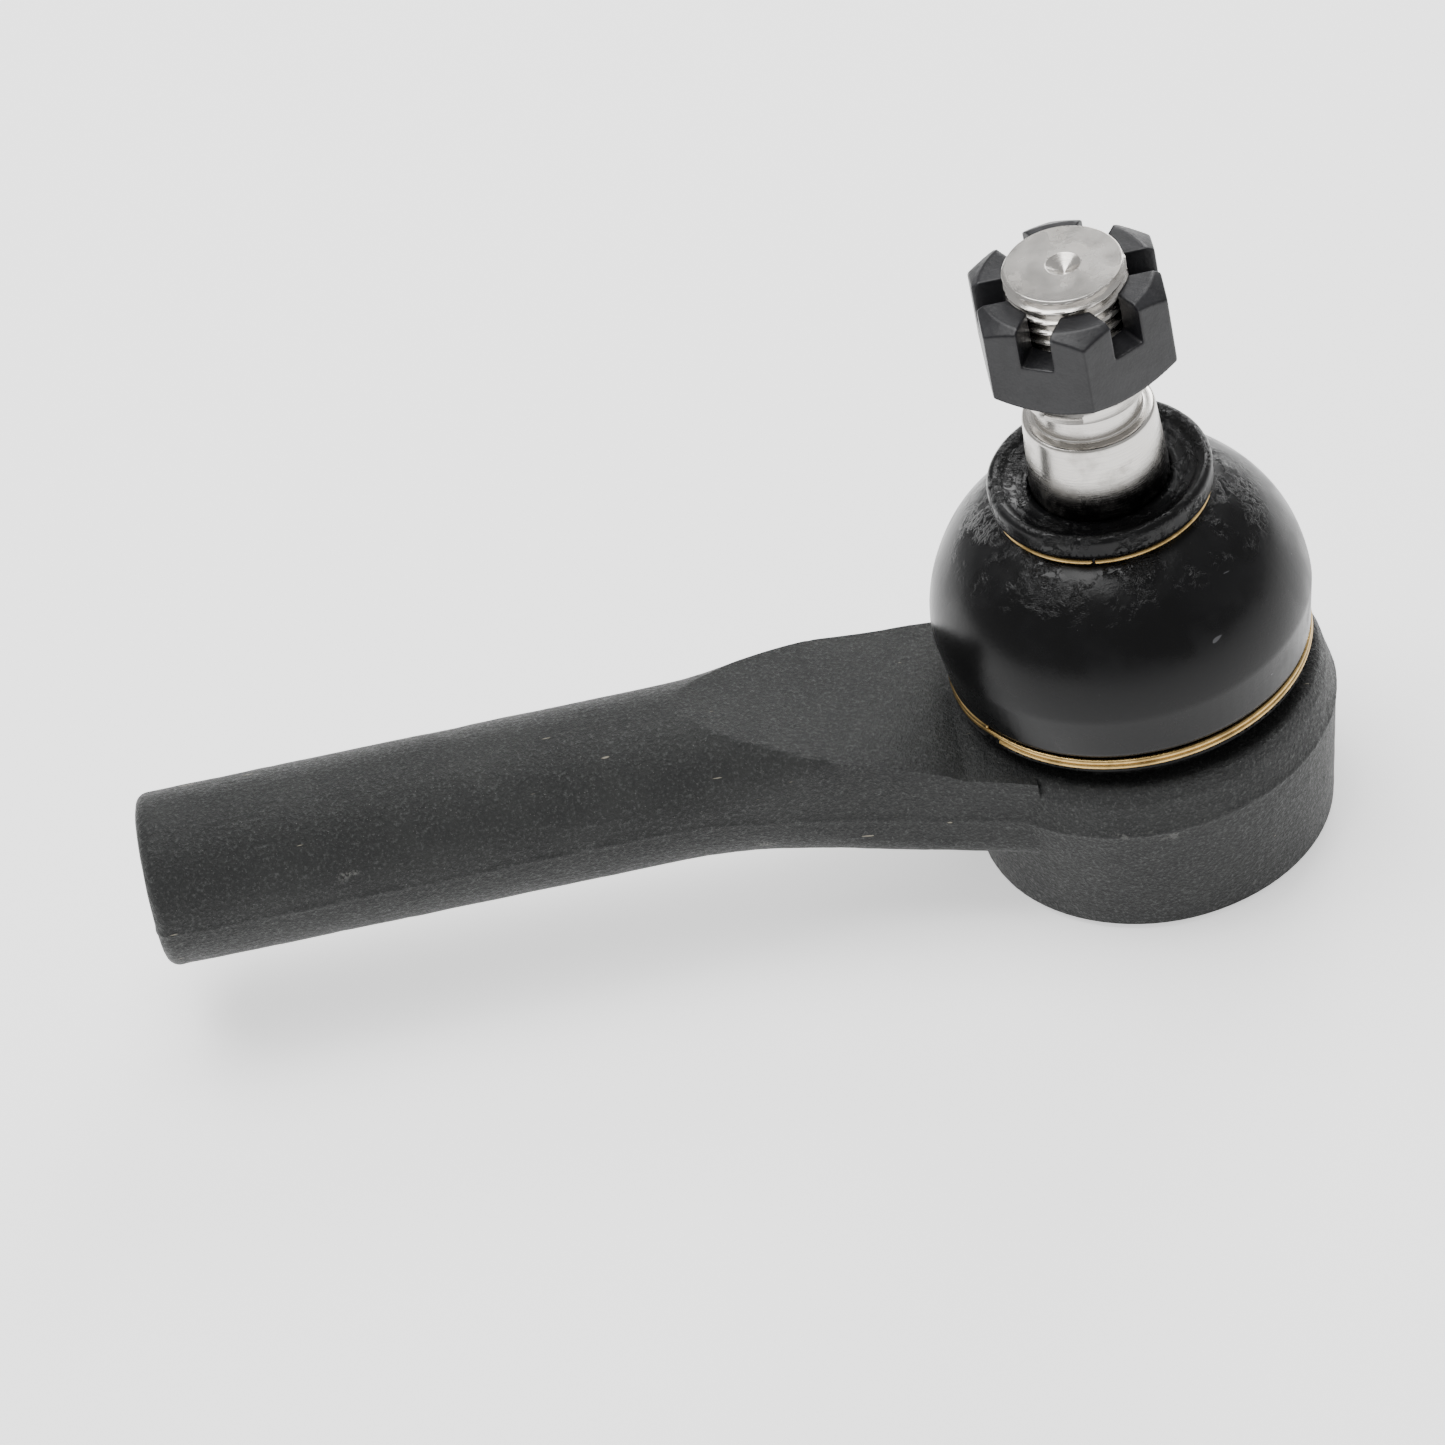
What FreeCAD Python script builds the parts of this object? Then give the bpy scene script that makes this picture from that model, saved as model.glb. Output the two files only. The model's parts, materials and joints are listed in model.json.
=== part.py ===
"""Tie rod end: a female-threaded shank forged in one piece with the barrel of a sealed ball joint.

Units are millimetres. The origin is on the stud's axis at the flat underside of the barrel, +Z runs up the
stud, and the shank leaves the barrel towards -X. Every radius and height below is measured from that origin.
"""
import FreeCAD, Part
import Sketcher
import math
import os
import re

SIZES = {
    # barrel of the forging
    "base_radius": 21.0,
    "base_chamfer": 0.8,
    "ridge_radius": 23.1,
    "ridge_height": 16.7,
    "shoulder_radius": 21.8,
    "shoulder_height": 22.85,
    "shoulder_drop": 2.0,
    "shoulder_chamfer": 0.4,
    "collar_radius": 18.9,
    "collar_top": 27.7,
    "collar_chamfer": 0.6,
    # inside of the barrel
    "cavity_radius": 15.6,
    "cavity_straight_top": 22.8,
    "mouth_radius": 10.7,
    "mouth_height": 26.5,
    "mouth_flare": 0.9,
    # shank and neck of the forging
    "shank_radius": 10.3,
    "shank_height": 20.75,
    "shank_end": 117.4,
    "shank_end_round": 1.6,
    "neck_start": 56.0,
    "neck_end": 14.0,
    "neck_flare": 7.2,
    "neck_flare_power": 2.7,
    "neck_corner": 2.6,
    "facet_start": 53.0,
    "facet_end": 24.5,
    "facet_rise": 1.0,
    # thread inside the shank, M14 x 1.5
    "bore_radius": 6.19,
    "bore_mouth_radius": 7.3,
    "drill_depth": 70.0,
    # ball stud, M14 x 1.5 above a 1:10 taper
    "ball_radius": 12.5,
    "ball_height": 19.7,
    "neck_radius": 6.4,
    "neck_top": 42.0,
    "seat_radius": 8.15,
    "seat_bottom": 47.0,
    "taper_bottom": 52.0,
    "taper_top": 61.9,
    "taper_top_radius": 7.65,
    "taper_top_round": 0.6,
    "relief_radius": 6.2,
    "relief_top": 65.0,
    "thread_radius": 7.0,
    "thread_chamfer": 0.9,
    "stud_top": 82.9,
    "dimple_radius": 2.0,
    "dimple_depth": 1.3,
    "pin_hole_radius": 1.7,
    # castle nut, 21 across the flats
    "nut_bottom": 69.4,
    "nut_height": 11.6,
    "nut_flats": 21.0,
    "nut_slot_width": 4.0,
    "nut_slot_depth": 5.0,
    "nut_face_radius": 9.9,
    "nut_chamfer_height": 1.4,
    "nut_bore_radius": 7.02,
    # dust boot
    "boot_bottom": 24.9,
    "boot_flange_radius": 21.3,
    "boot_flange_top": 25.6,
    "boot_groove_radius": 20.75,
    "boot_groove_top": 27.2,
    "boot_band_radius": 21.4,
    "boot_band_bottom": 27.7,
    "boot_waist_radius": 22.2,
    "boot_waist_height": 33.7,
    "boot_dome_round": 17.2,
    "boot_wall": 2.0,
    "boot_neck_radius": 11.9,
    "boot_neck_bottom": 49.0,
    "boot_neck_top": 50.0,
    "boot_lip_radius": 13.0,
    "boot_lip_top": 53.1,
    "boot_lip_round": 0.9,
    "boot_dish_radius": 9.6,
    "boot_dish_height": 51.9,
    "boot_gap": 0.1,
    # wire rings that clamp the boot
    "wire_radius": 0.34,
    "ring_gap": 0.06,
    "upper_ring_height": 49.5,
    "upper_ring_angle": 356.0,
    "lower_ring_height": 26.4,
    "lower_ring_pitch": 0.67,
    # bearing seats, spring and cover plate inside the barrel
    "ball_gap": 0.08,
    "seat_split_bottom": 17.7,
    "seat_split_top": 18.7,
    "seat_top": 25.5,
    "lower_seat_bottom": 5.7,
    "plate_radius": 17.0,
    "plate_face_radius": 15.9,
    "plate_thickness": 2.6,
    "spring_radius": 14.6,
    "spring_hole_radius": 6.0,
    "spring_thickness": 0.9,
}

NODES = [
    "forged_housing",
    "ball_stud",
    "castle_nut",
    "dust_boot",
    "upper_boot_ring",
    "lower_boot_ring",
    "upper_bearing_seat",
    "lower_bearing_seat",
    "preload_spring",
    "cover_plate",
]

doc = FreeCAD.newDocument("tie_rod_end")
sheet = doc.addObject("Spreadsheet::Sheet", "Sizes")


def fill_sheet():
    for row, (alias, number) in enumerate(SIZES.items(), start=1):
        sheet.set(f"A{row}", alias.replace("_", " "))
        sheet.set(f"B{row}", str(number))
        sheet.setAlias(f"B{row}", alias)
    doc.recompute()


def bound(formula):
    """The formula with every size name turned into a reference to its cell."""
    return re.sub(r"\b([a-z][a-z_]+)\b(?!\()", r"Sizes.\1", str(formula))


def value(formula):
    return float(sheet.evalExpression(bound(formula)))


def new_body(name):
    body = doc.addObject("PartDesign::Body", name)
    body.Label = name
    body.Placement = FreeCAD.Placement()
    return body


def new_sketch(body, name, role, right=0, up=0, out=0):
    """A sketch on one of the body's origin planes, shifted in the plane and along its normal."""
    plane = next(feature for feature in body.Origin.OriginFeatures if feature.Role == role)
    sketch = body.newObject("Sketcher::SketchObject", name)
    sketch.AttachmentSupport = [(plane, "")]
    sketch.MapMode = "FlatFace"
    for axis, shift in zip("xyz", (right, up, out)):
        sketch.setExpression(f"AttachmentOffset.Base.{axis}", bound(shift))
    return sketch


def hold_point(sketch, curve, end, x, y):
    """Fix one end of a curve at (x, y), both given as formulas."""
    for kind, formula, axis_curve in (("DistanceX", x, -1), ("DistanceY", y, -1)):
        number = value(formula)
        if abs(number) < 1e-9:
            on_axis = -2 if kind == "DistanceX" else -1
            sketch.addConstraint(Sketcher.Constraint("PointOnObject", curve, end, on_axis))
            continue
        row = sketch.addConstraint(Sketcher.Constraint(kind, axis_curve, 1, curve, end, number))
        sketch.setExpression(f"Constraints[{row}]", bound(formula))


def arc_between(start, end, radius, turn):
    """The arc of that radius from start to end, under half a turn; turn is +1 for anticlockwise."""
    chord = end - start
    side = FreeCAD.Vector(-chord.y, chord.x, 0).normalize() * turn
    centre = start + chord * 0.5 + side * math.sqrt(radius ** 2 - (chord.Length / 2) ** 2)
    circle = Part.Circle(centre, FreeCAD.Vector(0, 0, 1), radius)
    angles = [math.atan2(point.y - centre.y, point.x - centre.x) for point in (start, end)]
    if turn < 0:
        angles.reverse()
    return Part.ArcOfCircle(circle, angles[0], angles[1])


def draw_outline(sketch, corners):
    """A closed outline. A corner is (x, y), or (x, y, radius, turn) where an arc arrives at it."""
    points = [FreeCAD.Vector(value(corner[0]), value(corner[1]), 0) for corner in corners]
    ends = []
    for index, corner in enumerate(corners):
        start, end = points[index - 1], points[index]
        if len(corner) == 2:
            curve = sketch.addGeometry(Part.LineSegment(start, end))
            ends.append((curve, 1, 2))
            continue
        radius, turn = corner[2:]
        curve = sketch.addGeometry(arc_between(start, end, value(radius), turn))
        ends.append((curve, 1, 2) if turn > 0 else (curve, 2, 1))
        row = sketch.addConstraint(Sketcher.Constraint("Radius", curve, value(radius)))
        sketch.setExpression(f"Constraints[{row}]", bound(radius))
    for index, (curve, first, last) in enumerate(ends):
        previous = ends[index - 1]
        sketch.addConstraint(Sketcher.Constraint("Coincident", previous[0], previous[2], curve, first))
        hold_point(sketch, curve, last, corners[index][0], corners[index][1])


def revolve(body, kind, name, corners):
    """Turn an outline of (radius, height) corners about the body's Z axis, as a Revolution or a Groove."""
    sketch = new_sketch(body, f"{name}_outline", "XZ_Plane")
    draw_outline(sketch, corners)
    feature = body.newObject(f"PartDesign::{kind}", name)
    feature.Profile = sketch
    feature.ReferenceAxis = (sketch, ["V_Axis"])
    feature.Angle = 360
    return feature


def draw_circle(sketch, radius):
    curve = sketch.addGeometry(Part.Circle(FreeCAD.Vector(), FreeCAD.Vector(0, 0, 1), value(radius)))
    sketch.addConstraint(Sketcher.Constraint("Coincident", curve, 3, -1, 1))
    row = sketch.addConstraint(Sketcher.Constraint("Radius", curve, value(radius)))
    sketch.setExpression(f"Constraints[{row}]", bound(radius))


def draw_rounded_box(sketch, half_width, half_height, corner):
    """A rectangle centred on the sketch's origin with four equal round corners."""
    corners = [
        (half_width, f"{half_height} - ({corner})"),
        (f"{half_width} - ({corner})", half_height, corner, 1),
        (f"-({half_width}) + ({corner})", half_height),
        (f"-({half_width})", f"{half_height} - ({corner})", corner, 1),
        (f"-({half_width})", f"-({half_height}) + ({corner})"),
        (f"-({half_width}) + ({corner})", f"-({half_height})", corner, 1),
        (f"{half_width} - ({corner})", f"-({half_height})"),
        (half_width, f"-({half_height}) + ({corner})", corner, 1),
    ]
    draw_outline(sketch, corners)


def round_edges(body, base, name, radius, wanted):
    """Round the edges of the body's present shape that a test on an edge picks."""
    doc.recompute()
    chosen = [f"Edge{index}" for index, edge in enumerate(base.Shape.Edges, start=1) if wanted(edge)]
    fillet = body.newObject("PartDesign::Fillet", name)
    fillet.Base = (base, chosen)
    fillet.setExpression("Radius", bound(radius))
    return fillet


def neck_sections(body):
    """Sections from the round shank to the barrel: they flare in plan and turn from round to square."""
    fractions = [0.0, 0.2, 0.4, 0.6, 0.8, 1.0]
    square_from = 0.8
    sections = []
    for index, fraction in enumerate(fractions):
        section = new_sketch(
            body, f"neck_section_{index}", "YZ_Plane", up="shank_height",
            out=f"-neck_start + {fraction} * (neck_start - neck_end)",
        )
        roundness = (1 + math.cos(math.pi * min(fraction / square_from, 1))) / 2
        half_width = f"shank_radius + neck_flare * {fraction} ^ neck_flare_power"
        corner = f"neck_corner + (shank_radius - neck_corner - 0.05) * {roundness:.6f}"
        draw_rounded_box(section, half_width, "shank_radius", corner)
        sections.append(section)
    return sections


def housing_shank(body, section):
    """The shank runs straight back from the neck's first section, and its end edge is rounded."""
    shank = body.newObject("PartDesign::Pad", "shank")
    shank.Profile = section
    shank.Reversed = True
    shank.setExpression("Length", bound("shank_end - neck_start"))
    end_x = -value("shank_end")

    def is_end_edge(edge):
        return abs(edge.BoundBox.XMin - end_x) < 0.01 and abs(edge.BoundBox.XMax - end_x) < 0.01

    round_edges(body, shank, "shank_end_edge", "shank_end_round", is_end_edge)


def housing_neck(body, sections):
    loft = body.newObject("PartDesign::AdditiveLoft", "neck")
    loft.Profile = sections[0]
    loft.Sections = sections[1:]


def housing_facet(body):
    """A flat facet slopes from the shank's crest, then more steeply down to the barrel's shoulder."""
    sketch = new_sketch(body, "facet_outline", "XZ_Plane")
    crest = "shank_height + shank_radius"
    draw_outline(sketch, [
        ("-facet_start", crest),
        ("-facet_end", "shoulder_height + facet_rise"),
        ("-shoulder_radius", "shoulder_height"),
        (0, "shoulder_height"),
        (0, f"{crest} + 5"),
        ("-facet_start", f"{crest} + 5"),
    ])
    facet = body.newObject("PartDesign::Pocket", "facet")
    facet.Profile = sketch
    facet.Type = "ThroughAll"
    facet.Midplane = True


def housing_barrel(body):
    """The barrel's sides draft both ways from the forging's parting ridge."""
    revolve(body, "Revolution", "barrel", [
        (0, 0),
        ("base_radius - base_chamfer", 0),
        ("base_radius", "base_chamfer"),
        ("ridge_radius", "ridge_height"),
        ("shoulder_radius + 0.3 * shoulder_drop", "shoulder_height - shoulder_drop"),
        ("shoulder_radius", "shoulder_height - shoulder_chamfer"),
        ("shoulder_radius - shoulder_chamfer", "shoulder_height"),
        ("collar_radius", "shoulder_height"),
        ("collar_radius", "collar_top - collar_chamfer"),
        ("collar_radius - collar_chamfer", "collar_top"),
        (0, "collar_top"),
    ])


def housing_cavity(body):
    """Bored from below: a step for the cover plate, the bearing's bore, and the stud's mouth."""
    revolve(body, "Groove", "cavity", [
        (0, -1),
        ("plate_face_radius", -1),
        ("plate_face_radius", 0),
        ("plate_radius", "plate_radius - plate_face_radius"),
        ("plate_radius", "plate_thickness"),
        ("cavity_radius", "plate_thickness"),
        ("cavity_radius", "cavity_straight_top"),
        ("mouth_radius", "mouth_height"),
        ("mouth_radius + mouth_flare", "collar_top"),
        ("mouth_radius + mouth_flare", "collar_top + 1"),
        (0, "collar_top + 1"),
    ])


def housing_bore(body):
    """The threaded bore of the shank with its countersunk mouth and drill point."""
    sketch = new_sketch(body, "bore_outline", "XZ_Plane", up="shank_height")
    draw_outline(sketch, [
        ("-shank_end - 1", 0),
        ("-shank_end - 1", "bore_mouth_radius + 1"),
        ("-shank_end + bore_mouth_radius - bore_radius", "bore_radius"),
        ("-shank_end + drill_depth", "bore_radius"),
        ("-shank_end + drill_depth + 0.58 * bore_radius", 0),
    ])
    bore = body.newObject("PartDesign::Groove", "bore")
    bore.Profile = sketch
    bore.ReferenceAxis = (sketch, ["H_Axis"])
    bore.Angle = 360


def forged_housing():
    body = new_body("forged_housing")
    sections = neck_sections(body)
    housing_shank(body, sections[0])
    housing_neck(body, sections)
    housing_facet(body)
    housing_barrel(body)
    housing_cavity(body)
    housing_bore(body)


def ball_stud():
    """Ball, necked shank, tapered seat and thread turned in one piece, cross-drilled for a split pin."""
    body = new_body("ball_stud")
    revolve(body, "Revolution", "turned_stud", [
        (0, "ball_height - ball_radius"),
        ("ball_radius", "ball_height", "ball_radius", 1),
        ("neck_radius", "ball_height + sqrt(ball_radius ^ 2 - neck_radius ^ 2)", "ball_radius", 1),
        ("neck_radius", "neck_top"),
        ("seat_radius", "seat_bottom"),
        ("seat_radius", "taper_bottom"),
        ("taper_top_radius", "taper_top - taper_top_round"),
        ("taper_top_radius - taper_top_round", "taper_top", "taper_top_round", 1),
        ("relief_radius", "taper_top"),
        ("relief_radius", "relief_top"),
        ("thread_radius", "relief_top + thread_radius - relief_radius"),
        ("thread_radius", "stud_top - thread_chamfer"),
        ("thread_radius - thread_chamfer", "stud_top"),
        ("dimple_radius", "stud_top"),
        (0, "stud_top - dimple_depth"),
    ])
    hole_height = "nut_bottom + nut_height - nut_slot_depth + pin_hole_radius + 0.2"
    sketch = new_sketch(body, "pin_circle", "YZ_Plane", up=hole_height)
    draw_circle(sketch, "pin_hole_radius")
    hole = body.newObject("PartDesign::Pocket", "pin_hole")
    hole.Profile = sketch
    hole.Type = "ThroughAll"
    hole.Midplane = True


def draw_hexagon(sketch, flats):
    """A hexagon with two flats square to the sketch's horizontal axis."""
    corner = f"{flats} / sqrt(3)"
    draw_outline(sketch, [
        (0, corner),
        (f"-{flats} / 2", f"{corner} / 2"),
        (f"-{flats} / 2", f"-{corner} / 2"),
        (0, f"-{corner}"),
        (f"{flats} / 2", f"-{corner} / 2"),
        (f"{flats} / 2", f"{corner} / 2"),
    ])


def nut_chamfer(body, name, face, inwards):
    """Turn the hexagon's corners away at one end; inwards is the direction into the nut along Z."""
    reach = "nut_flats / sqrt(3)"
    revolve(body, "Groove", name, [
        ("nut_face_radius", face),
        (f"{reach} + 1", f"{face} + {inwards} * nut_chamfer_height * ({reach} + 1 - nut_face_radius) "
                         f"/ ({reach} - nut_face_radius)"),
        (f"{reach} + 1", face),
    ])


def castle_nut():
    body = new_body("castle_nut")
    top = "nut_bottom + nut_height"
    hexagon = new_sketch(body, "hexagon", "XY_Plane", out="nut_bottom")
    draw_hexagon(hexagon, "nut_flats")
    block = body.newObject("PartDesign::Pad", "block")
    block.Profile = hexagon
    block.setExpression("Length", bound("nut_height"))
    nut_chamfer(body, "top_chamfer", top, -1)
    nut_chamfer(body, "bottom_chamfer", "nut_bottom", 1)
    revolve(body, "Groove", "nut_bore", [
        (0, "nut_bottom - 1"),
        ("nut_bore_radius + 1.6", "nut_bottom - 1"),
        ("nut_bore_radius", "nut_bottom + 0.6"),
        ("nut_bore_radius", top),
        ("nut_bore_radius", f"{top} + 1"),
        (0, f"{top} + 1"),
    ])
    slot_face = new_sketch(body, "slot_outline", "XY_Plane", out=top)
    draw_outline(slot_face, [
        ("nut_flats", "-nut_slot_width / 2"),
        ("nut_flats", "nut_slot_width / 2"),
        ("-nut_flats", "nut_slot_width / 2"),
        ("-nut_flats", "-nut_slot_width / 2"),
    ])
    slot = body.newObject("PartDesign::Pocket", "slot")
    slot.Profile = slot_face
    slot.setExpression("Length", bound("nut_slot_depth"))
    slots = body.newObject("PartDesign::PolarPattern", "slots")
    slots.Originals = [slot]
    slots.Axis = (slot_face, ["N_Axis"])
    slots.Angle = 360
    slots.Occurrences = 3
    body.Tip = slots


def dust_boot():
    """A rubber dome with a bead round the housing's collar and a lip round the stud, hollow inside."""
    body = new_body("dust_boot")
    revolve(body, "Revolution", "moulding", [
        ("collar_radius + boot_gap", "boot_bottom"),
        ("boot_flange_radius - 0.5", "boot_bottom"),
        ("boot_flange_radius", "boot_bottom + 0.5"),
        ("boot_groove_radius", "boot_flange_top"),
        ("boot_groove_radius", "boot_groove_top"),
        ("boot_band_radius", "boot_band_bottom"),
        ("boot_waist_radius", "boot_waist_height"),
        ("boot_neck_radius", "boot_neck_bottom", "boot_dome_round", 1),
        ("boot_neck_radius", "boot_neck_top"),
        ("boot_lip_radius", "boot_neck_top + 0.5"),
        ("boot_lip_radius", "boot_lip_top - boot_lip_round"),
        ("boot_lip_radius - boot_lip_round", "boot_lip_top", "boot_lip_round", 1),
        ("boot_dish_radius", "boot_dish_height"),
        ("seat_radius + boot_gap", "boot_dish_height"),
        ("seat_radius + boot_gap", "boot_neck_bottom - boot_wall / 2"),
        ("boot_neck_radius - boot_wall", "boot_neck_bottom - boot_wall / 2"),
        ("boot_waist_radius - boot_wall", "boot_waist_height", "boot_dome_round - boot_wall", -1),
        ("collar_radius + boot_gap", "collar_top"),
    ])


def upper_boot_ring():
    """One open turn of wire in the groove under the boot's lip."""
    ring = doc.addObject("Part::Torus", "upper_boot_ring")
    ring.Label = "upper_boot_ring"
    ring.setExpression("Radius1", bound("boot_neck_radius + wire_radius + ring_gap"))
    ring.setExpression("Radius2", bound("wire_radius"))
    ring.setExpression("Angle3", bound("upper_ring_angle"))
    ring.setExpression("Placement.Base.z", bound("upper_ring_height"))


def lower_boot_ring():
    """Two turns of wire, side by side, round the boot's bead."""
    turns = []
    for name, side in (("lower_turn", -1), ("upper_turn", 1)):
        turn = doc.addObject("Part::Torus", name)
        turn.setExpression("Radius1", bound("boot_groove_radius + wire_radius"))
        turn.setExpression("Radius2", bound("wire_radius"))
        turn.setExpression("Placement.Base.z", bound(f"lower_ring_height + {side} * lower_ring_pitch / 2"))
        turns.append(turn)
    ring = doc.addObject("Part::MultiFuse", "lower_boot_ring")
    ring.Label = "lower_boot_ring"
    ring.Shapes = turns


def upper_bearing_seat():
    """The half race that carries the ball against the mouth of the barrel."""
    body = new_body("upper_bearing_seat")
    race = "(ball_radius + ball_gap)"
    cone = "(cavity_radius - mouth_radius) / (mouth_height - cavity_straight_top)"
    revolve(body, "Revolution", "moulding", [
        ("cavity_radius", "seat_split_top"),
        ("cavity_radius", "cavity_straight_top"),
        (f"cavity_radius - {cone} * (seat_top - cavity_straight_top)", "seat_top"),
        (f"sqrt({race} ^ 2 - (seat_top - ball_height) ^ 2)", "seat_top"),
        (f"sqrt({race} ^ 2 - (ball_height - seat_split_top) ^ 2)", "seat_split_top", race, -1),
    ])


def lower_bearing_seat():
    """The half race under the ball, pressed up by the spring."""
    body = new_body("lower_bearing_seat")
    race = "(ball_radius + ball_gap)"
    revolve(body, "Revolution", "moulding", [
        (0, "lower_seat_bottom"),
        ("cavity_radius", "lower_seat_bottom"),
        ("cavity_radius", "seat_split_bottom"),
        (f"sqrt({race} ^ 2 - (ball_height - seat_split_bottom) ^ 2)", "seat_split_bottom"),
        (0, f"ball_height - {race}", race, -1),
    ])


def preload_spring():
    """A disc spring between the cover plate and the lower seat."""
    body = new_body("preload_spring")
    revolve(body, "Revolution", "disc", [
        ("spring_hole_radius", "lower_seat_bottom - spring_thickness"),
        ("spring_radius", "plate_thickness"),
        ("spring_radius", "plate_thickness + spring_thickness"),
        ("spring_hole_radius", "lower_seat_bottom"),
    ])


def cover_plate():
    """A pressed disc, held by the barrel's edge rolled over its bevelled rim."""
    body = new_body("cover_plate")
    revolve(body, "Revolution", "disc", [
        (0, 0),
        ("plate_face_radius", 0),
        ("plate_radius", "plate_radius - plate_face_radius"),
        ("plate_radius", "plate_thickness"),
        (0, "plate_thickness"),
    ])


def check_document():
    """Stop if any object failed to compute or any node's shape is missing or invalid."""
    doc.recompute()
    for item in doc.Objects:
        if {"Invalid", "Error"} & set(item.State):
            raise RuntimeError(f"{item.Label} failed: {item.State}")
    for name in NODES:
        shape = doc.getObject(name).Shape
        if shape.isNull() or not shape.isValid() or not shape.Solids:
            raise RuntimeError(f"{name} has no valid solid")


def write_nodes():
    os.makedirs("parts", exist_ok=True)
    for name in NODES:
        shape = doc.getObject(name).Shape
        shape.exportStep(f"parts/{name}.step")
        print(name, len(shape.Solids), round(shape.Volume, 1))


fill_sheet()
forged_housing()
ball_stud()
castle_nut()
dust_boot()
upper_boot_ring()
lower_boot_ring()
upper_bearing_seat()
lower_bearing_seat()
preload_spring()
cover_plate()
check_document()
write_nodes()
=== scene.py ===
import json
import math

import bmesh
import bpy
import numpy as np
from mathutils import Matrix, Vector, noise


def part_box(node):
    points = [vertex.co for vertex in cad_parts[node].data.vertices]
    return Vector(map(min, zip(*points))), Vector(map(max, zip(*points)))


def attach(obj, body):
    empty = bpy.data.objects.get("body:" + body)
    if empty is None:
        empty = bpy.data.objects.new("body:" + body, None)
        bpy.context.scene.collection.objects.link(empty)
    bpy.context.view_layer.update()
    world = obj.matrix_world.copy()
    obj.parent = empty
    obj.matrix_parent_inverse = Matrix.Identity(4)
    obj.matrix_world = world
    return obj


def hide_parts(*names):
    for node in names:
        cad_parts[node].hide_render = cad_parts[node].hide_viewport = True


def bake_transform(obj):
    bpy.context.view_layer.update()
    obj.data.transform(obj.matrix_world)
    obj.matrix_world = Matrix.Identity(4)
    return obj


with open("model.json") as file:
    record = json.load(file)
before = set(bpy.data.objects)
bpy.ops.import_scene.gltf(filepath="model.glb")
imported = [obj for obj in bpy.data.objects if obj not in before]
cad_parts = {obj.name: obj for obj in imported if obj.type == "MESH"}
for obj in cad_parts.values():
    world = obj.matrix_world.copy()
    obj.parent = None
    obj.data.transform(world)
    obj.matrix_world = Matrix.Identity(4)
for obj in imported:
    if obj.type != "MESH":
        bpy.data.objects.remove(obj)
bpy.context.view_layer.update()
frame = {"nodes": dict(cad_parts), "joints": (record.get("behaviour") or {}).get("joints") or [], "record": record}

# The looks of the tie rod end, in metres, in the CAD frame. Z is the ball stud's axis.
# The shank runs towards -X.
# The housing, stud, nut, boot and wires are replaced by finer meshes. The other CAD nodes keep their shape.

MM = 0.001
SEED = 7

# Driving sizes, read from the frame
mounts = {mount["name"]: mount for mount in frame["record"]["mounts"]}
housing_low, housing_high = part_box("forged_housing")
stud_low, stud_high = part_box("ball_stud")
upper_wire_low, upper_wire_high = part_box("upper_boot_ring")
lower_wire_low, lower_wire_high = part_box("lower_boot_ring")

SHANK_HEIGHT = mounts["shank_thread"]["pos_m"][2]
SHANK_END = housing_low.x
BORE_RADIUS = mounts["shank_thread"]["dims"]["r_mm"] * MM
BORE_LENGTH = mounts["shank_thread"]["dims"]["length_mm"] * MM
THREAD_PITCH = 1.5 * MM
THREAD_DEPTH = 0.613 * THREAD_PITCH
BARREL_RADIUS = housing_high.x
RIDGE_HEIGHT = 16.7 * MM
SHOULDER_HEIGHT = 22.85 * MM
COLLAR_RADIUS = 18.9 * MM
BALL_CENTRE = frame["joints"][1]["pos_m"][2]
BALL_RADIUS = BALL_CENTRE - stud_low.z
STUD_TOP = stud_high.z
PIN_HOLE_HEIGHT = mounts["split_pin_hole"]["pos_m"][2]
PIN_HOLE_RADIUS = mounts["split_pin_hole"]["dims"]["r_mm"] * MM


# ---------------------------------------------------------------- mesh tools

def new_object(name, mesh):
    """A mesh object in the scene."""
    piece = bpy.data.objects.new(name, mesh)
    bpy.context.scene.collection.objects.link(piece)
    return piece


def shade(mesh, sharp_angle):
    """Smooth shading, with an edge kept sharp where its faces turn by more than the angle in degrees."""
    mesh.polygons.foreach_set("use_smooth", [True] * len(mesh.polygons))
    mesh.set_sharp_from_angle(angle=math.radians(sharp_angle))


def cad_copy(node):
    """The CAD node's mesh as a bmesh of its own, with its split vertices joined."""
    shape = bmesh.new()
    shape.from_mesh(frame["nodes"][node].data)
    bmesh.ops.remove_doubles(shape, verts=shape.verts, dist=1e-7)
    return shape


def refine(shape, limit, wanted):
    """Splits edges longer than the limit wherever wanted(midpoint) is true, until none is left."""
    for _ in range(9):
        long_edges = []
        for edge in shape.edges:
            if edge.calc_length() > limit and wanted((edge.verts[0].co + edge.verts[1].co) / 2):
                long_edges.append(edge)
        if not long_edges:
            return
        bmesh.ops.subdivide_edges(shape, edges=long_edges, cuts=1)
        bmesh.ops.triangulate(shape, faces=[face for face in shape.faces if len(face.verts) > 3])


def slices(shape, normal, distances):
    """Cuts every face where it crosses planes square to the normal at these distances."""
    for distance in distances:
        everything = shape.verts[:] + shape.edges[:] + shape.faces[:]
        place = Vector(normal) * float(distance)
        bmesh.ops.bisect_plane(shape, geom=everything, dist=1e-7, plane_co=place, plane_no=normal)


def to_mesh(shape, name):
    """The bmesh as a mesh with outward normals."""
    bmesh.ops.recalc_face_normals(shape, faces=shape.faces)
    mesh = bpy.data.meshes.new(name)
    shape.to_mesh(mesh)
    shape.free()
    return mesh


def solid(name, points, faces):
    """A mesh from points and faces, with outward normals."""
    mesh = bpy.data.meshes.new(name)
    mesh.from_pydata(points, [], faces)
    shape = bmesh.new()
    shape.from_mesh(mesh)
    return to_mesh(shape, name)


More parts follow.
